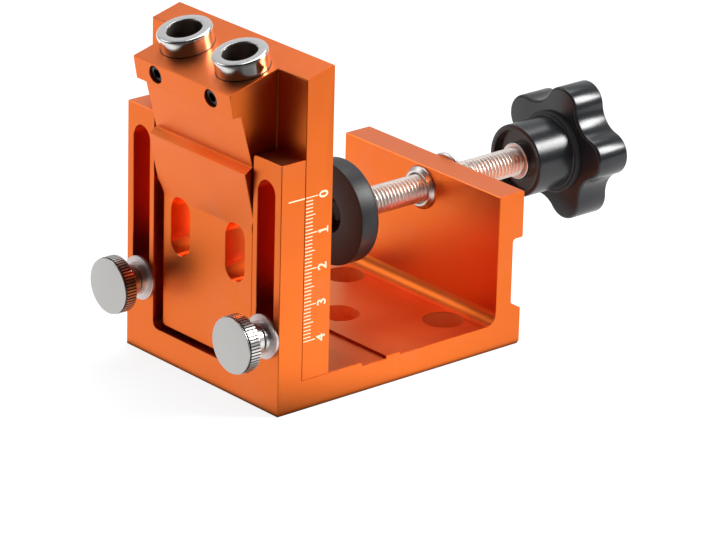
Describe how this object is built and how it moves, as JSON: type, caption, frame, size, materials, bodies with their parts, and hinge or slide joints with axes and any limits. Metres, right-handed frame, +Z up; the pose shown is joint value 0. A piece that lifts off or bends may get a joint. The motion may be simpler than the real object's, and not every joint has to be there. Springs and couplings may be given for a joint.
{
  "type": "pocket hole jig",
  "caption": "Aluminium pocket hole jig: sloped twin-bore drill guide sliding on a slotted frame, with a bed and a screw clamp.",
  "frame": {"origin": "middle of the base's underside", "axes": "+X to the side with the scale, +Y from the drill guide towards the clamp knob, +Z up"},
  "size_m": [0.0676, 0.1465, 0.0965],
  "materials": {
    "orange_anodised": "satin",
    "hardened_steel": "polished",
    "nickel_steel": "satin",
    "black_steel": "satin",
    "black_knob": "gloss",
    "black_pad": "matte"
  },
  "bodies": {
    "frame": {"base_frame": "orange_anodised", "clamp_bush": "nickel_steel"},
    "guide": {"drill_guide": "orange_anodised", "guide_bushing_left": "hardened_steel", "guide_bushing_right": "hardened_steel", "bushing_set_screw_left": "black_steel", "bushing_set_screw_right": "black_steel"},
    "lock_washer_left": {"thumb_washer_left": "nickel_steel"},
    "lock_washer_right": {"thumb_washer_right": "nickel_steel"},
    "lock_screw_left": {"thumb_screw_left": "nickel_steel"},
    "lock_screw_right": {"thumb_screw_right": "nickel_steel"},
    "pad": {"clamp_pad": "black_pad"},
    "spindle": {"clamp_screw": "nickel_steel", "pad_retaining_ring": "black_steel", "clamp_knob": "black_knob", "knob_insert": "nickel_steel"}
  },
  "joints": [
    {"name": "guide_slide", "type": "slide", "parent": "frame", "child": "guide", "axis": [0, 0, 1], "range_m": [0, 0.04]},
    {"name": "lock_left_travel", "type": "slide", "parent": "guide", "child": "lock_washer_left", "axis": [0, -1, 0], "range_m": [0, 0.002]},
    {"name": "lock_left_turn", "type": "hinge", "parent": "lock_washer_left", "child": "lock_screw_left", "pos_m": [-0.026, -0.0425, 0.0211], "axis": [0, -1, 0], "range_deg": [-2, 722]},
    {"name": "lock_right_travel", "type": "slide", "parent": "guide", "child": "lock_washer_right", "axis": [0, -1, 0], "range_m": [0, 0.002]},
    {"name": "lock_right_turn", "type": "hinge", "parent": "lock_washer_right", "child": "lock_screw_right", "pos_m": [0.026, -0.0425, 0.0211], "axis": [0, -1, 0], "range_deg": [-2, 722]},
    {"name": "clamp_travel", "type": "slide", "parent": "frame", "child": "pad", "axis": [0, -1, 0], "range_m": [-0.02, 0.024]},
    {"name": "clamp_turn", "type": "hinge", "parent": "pad", "child": "spindle", "pos_m": [0, 0.0175, 0.0374], "axis": [0, -1, 0], "range_deg": [-5770, 6922]}
  ],
  "couplings": [
    {"joint": "lock_left_turn", "follows": "lock_left_travel", "rad_per_m": 6283.2},
    {"joint": "lock_right_turn", "follows": "lock_right_travel", "rad_per_m": 6283.2},
    {"joint": "clamp_turn", "follows": "clamp_travel", "rad_per_m": 5026.5}
  ]
}
